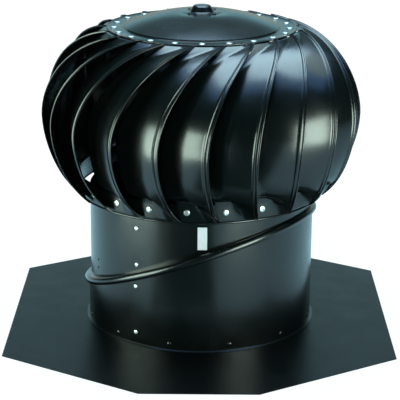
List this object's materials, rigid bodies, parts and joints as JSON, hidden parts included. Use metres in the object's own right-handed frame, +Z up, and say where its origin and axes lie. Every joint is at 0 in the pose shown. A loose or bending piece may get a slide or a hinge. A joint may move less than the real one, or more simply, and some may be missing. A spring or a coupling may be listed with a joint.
{
  "type": "roof turbine ventilator",
  "caption": "Wind-driven roof turbine ventilator: swept-blade rotor on ball bearings above a swivelling two-piece throat and an octagonal roof flashing.",
  "frame": {"origin": "centre of the flashing's underside, on the throat's axis", "axes": "+Z up along the throat, +Y along the flashing's longer side, front towards -Y"},
  "size_m": [0.525, 0.578, 0.4425],
  "materials": {
    "black_enamel": "semi-gloss baked enamel",
    "satin_enamel": "satin baked enamel",
    "bare_rivet": "bare, drawn",
    "zinc_plate": "zinc plated",
    "bearing_steel": "ground",
    "cage_brass": "stamped",
    "white_label": "blank satin film"
  },
  "bodies": {
    "base": {"flashing": "satin_enamel", "lower_neck": "black_enamel", "collar_rivets": "black_enamel", "lower_seam_rivets": "bare_rivet"},
    "upper_section": {"upper_neck": "black_enamel", "upper_seam_rivets": "bare_rivet", "blank_label": "white_label", "throat_brace": "black_enamel", "brace_rivets": "black_enamel", "fixed_shaft": "zinc_plate", "shaft_nuts": "zinc_plate", "shaft_washers": "zinc_plate", "spacer_tube": "zinc_plate", "lower_inner_race": "bearing_steel", "upper_inner_race": "bearing_steel"},
    "lower_ball_set": {"lower_balls": "bearing_steel", "lower_cage": "cage_brass"},
    "upper_ball_set": {"upper_balls": "bearing_steel", "upper_cage": "cage_brass"},
    "rotor": {"cap": "black_enamel", "hub_cover": "black_enamel", "bearing_housing": "zinc_plate", "seat_rivets": "bare_rivet", "upper_outer_race": "bearing_steel", "lower_outer_race": "bearing_steel", "rotor_spider": "black_enamel", "rotor_ring": "black_enamel", "rim_rivets": "bare_rivet", "foot_rivets": "bare_rivet", "blade_01": "black_enamel", "blade_02": "black_enamel", "blade_03": "black_enamel", "blade_04": "black_enamel", "blade_05": "black_enamel", "blade_06": "black_enamel", "blade_07": "black_enamel", "blade_08": "black_enamel", "blade_09": "black_enamel", "blade_10": "black_enamel", "blade_11": "black_enamel", "blade_12": "black_enamel", "blade_13": "black_enamel", "blade_14": "black_enamel", "blade_15": "black_enamel", "blade_16": "black_enamel", "blade_17": "black_enamel", "blade_18": "black_enamel", "blade_19": "black_enamel", "blade_20": "black_enamel", "blade_21": "black_enamel"}
  },
  "joints": [
    {"name": "neck_swivel", "type": "hinge", "parent": "base", "child": "upper_section", "pos_m": [0, 0, 0.107], "axis": [-0.312, 0.159, 0.9367], "range_deg": [0, 180]},
    {"name": "rotor_spin", "type": "hinge", "parent": "upper_section", "child": "rotor", "pos_m": [0, 0, 0.3], "axis": [0, 0, 1], "continuous": true},
    {"name": "lower_ball_roll", "type": "hinge", "parent": "upper_section", "child": "lower_ball_set", "pos_m": [0, 0, 0.207], "axis": [0, 0, 1], "continuous": true},
    {"name": "upper_ball_roll", "type": "hinge", "parent": "upper_section", "child": "upper_ball_set", "pos_m": [0, 0, 0.4238], "axis": [0, 0, 1], "continuous": true}
  ],
  "couplings": [
    {"joint": "lower_ball_roll", "follows": "rotor_spin", "ratio": 0.616},
    {"joint": "upper_ball_roll", "follows": "rotor_spin", "ratio": 0.62889}
  ]
}
